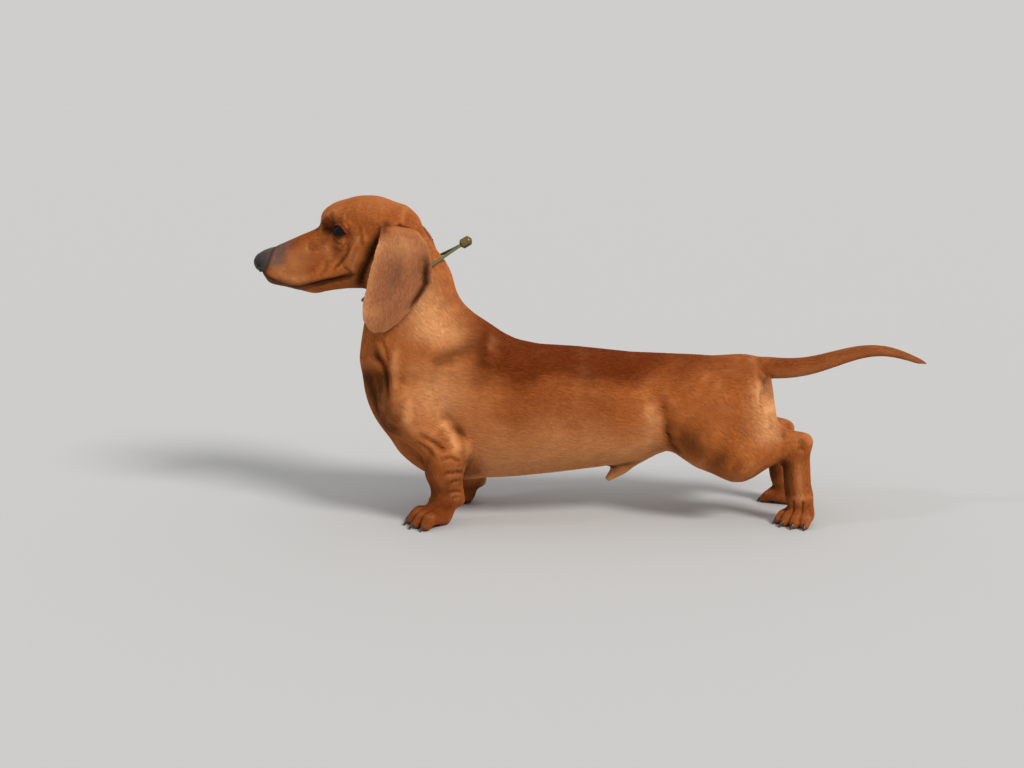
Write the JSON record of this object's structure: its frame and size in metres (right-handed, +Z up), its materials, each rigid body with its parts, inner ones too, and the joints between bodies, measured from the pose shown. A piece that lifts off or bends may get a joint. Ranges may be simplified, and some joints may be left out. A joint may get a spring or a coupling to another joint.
{
  "type": "dachshund",
  "caption": "Smooth-haired dachshund standing in show stance, life size, head level, ears hanging and tail carried out behind, with a thin round show collar.",
  "frame": {"origin": "middle of the floor rectangle under the dog", "axes": "-X points where the dog looks, -Y to its left side, +Z up"},
  "size_m": [0.7922, 0.1698, 0.3796],
  "materials": {
    "coat": "short smooth hair",
    "ear_coat": "short fine hair",
    "nose_leather": "moist pebbled leather",
    "eye_glass": "wet gloss",
    "cord_olive": "fine braid",
    "slide_metal": "dull metal"
  },
  "bodies": {
    "root": {"head": "coat", "neck": "coat", "torso": "coat", "tail": "coat", "leg_front_left": "coat", "leg_front_right": "coat", "leg_hind_left": "coat", "leg_hind_right": "coat", "ear_left": "ear_coat", "ear_right": "ear_coat", "nose": "nose_leather", "eye_left": "eye_glass", "eye_right": "eye_glass", "collar": "cord_olive", "collar_slide": "slide_metal"}
  },
  "joints": []
}
